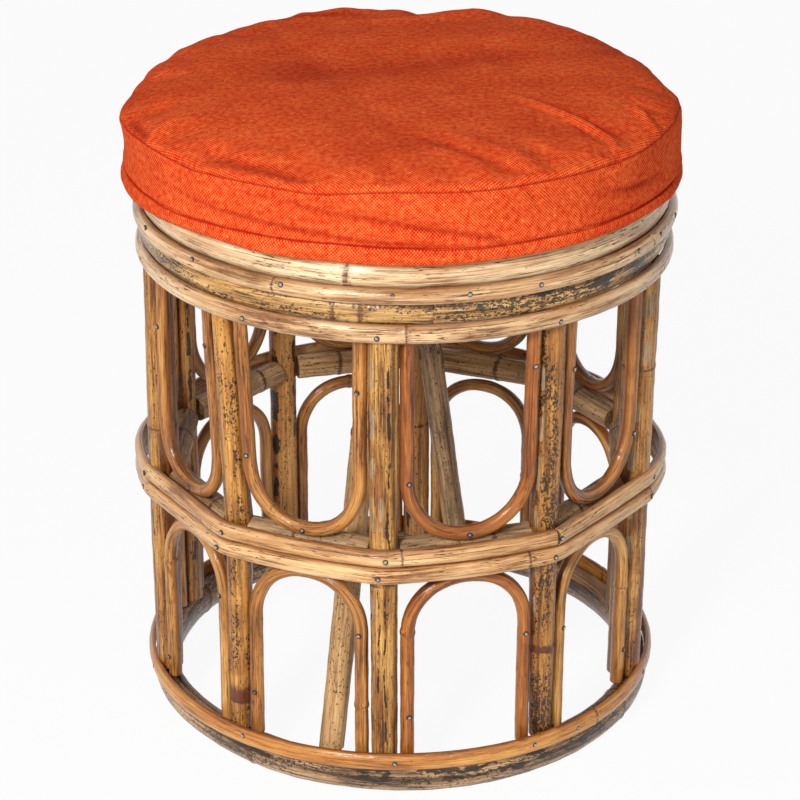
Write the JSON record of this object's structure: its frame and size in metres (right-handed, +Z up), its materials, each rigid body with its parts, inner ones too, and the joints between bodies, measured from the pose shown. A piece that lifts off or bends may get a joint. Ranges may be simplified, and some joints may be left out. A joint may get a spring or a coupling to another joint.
{
  "type": "stool",
  "caption": "Round cane stool: upright posts between bent hoops, U-shaped loops over arches in every bay, split-cane bands, a lath seat and a loose round box cushion.",
  "frame": {"origin": "on the ground, at the centre of the base hoop", "axes": "+Z up; the front of the stool faces -Y; +X is to the right of someone who faces the front"},
  "size_m": [0.387, 0.387, 0.4591],
  "materials": {
    "cane_pale": "varnished, glossy",
    "cane_golden": "varnished, glossy",
    "cane_russet": "varnished, glossy",
    "cane_mottled": "varnished, glossy, speckled",
    "cane_dark": "varnished, glossy, speckled",
    "cane_grey": "satin",
    "bamboo_lath": "bare, matt",
    "canvas": "matt heathered canvas",
    "foam": "matt foam"
  },
  "bodies": {
    "frame": {"post_01": "cane_grey", "post_02": "cane_golden", "post_03": "cane_golden", "post_04": "cane_grey", "post_05": "cane_golden", "post_06": "cane_grey", "post_07": "cane_golden", "post_08": "cane_golden", "post_09": "cane_grey", "post_10": "cane_golden", "upper_loop_01": "cane_russet", "upper_loop_02": "cane_pale", "upper_loop_03": "cane_pale", "upper_loop_04": "cane_golden", "upper_loop_05": "cane_golden", "upper_loop_06": "cane_russet", "upper_loop_07": "cane_pale", "upper_loop_08": "cane_pale", "upper_loop_09": "cane_golden", "upper_loop_10": "cane_golden", "lower_arch_01": "cane_golden", "lower_arch_02": "cane_golden", "lower_arch_03": "cane_russet", "lower_arch_04": "cane_golden", "lower_arch_05": "cane_pale", "lower_arch_06": "cane_golden", "lower_arch_07": "cane_golden", "lower_arch_08": "cane_russet", "lower_arch_09": "cane_golden", "lower_arch_10": "cane_pale", "mid_rail_01": "cane_grey", "mid_rail_02": "cane_grey", "mid_rail_03": "cane_grey", "mid_rail_04": "cane_grey", "mid_rail_05": "cane_grey", "mid_rail_06": "cane_grey", "mid_rail_07": "cane_grey", "mid_rail_08": "cane_grey", "mid_rail_09": "cane_grey", "mid_rail_10": "cane_grey", "base_hoop": "cane_dark", "base_band": "cane_golden", "mid_band_lower": "cane_golden", "mid_band_upper": "cane_golden", "eave_band": "cane_pale", "rim_hoop_lower": "cane_mottled", "rim_band": "cane_pale", "rim_hoop_upper": "cane_pale", "seat_bearer_front": "cane_grey", "seat_bearer_back": "cane_grey", "seat_lath_01": "bamboo_lath", "seat_lath_02": "bamboo_lath", "seat_lath_03": "bamboo_lath", "seat_lath_04": "bamboo_lath", "seat_lath_05": "bamboo_lath", "seat_lath_06": "bamboo_lath", "brace_front": "cane_grey", "brace_back": "cane_grey"},
    "cushion": {"cushion_cover": "canvas", "cushion_pad": "foam"}
  },
  "joints": [
    {"name": "cushion_lift", "type": "slide", "parent": "frame", "child": "cushion", "axis": [0, 0, 1], "range_m": [0, 0.12]}
  ]
}
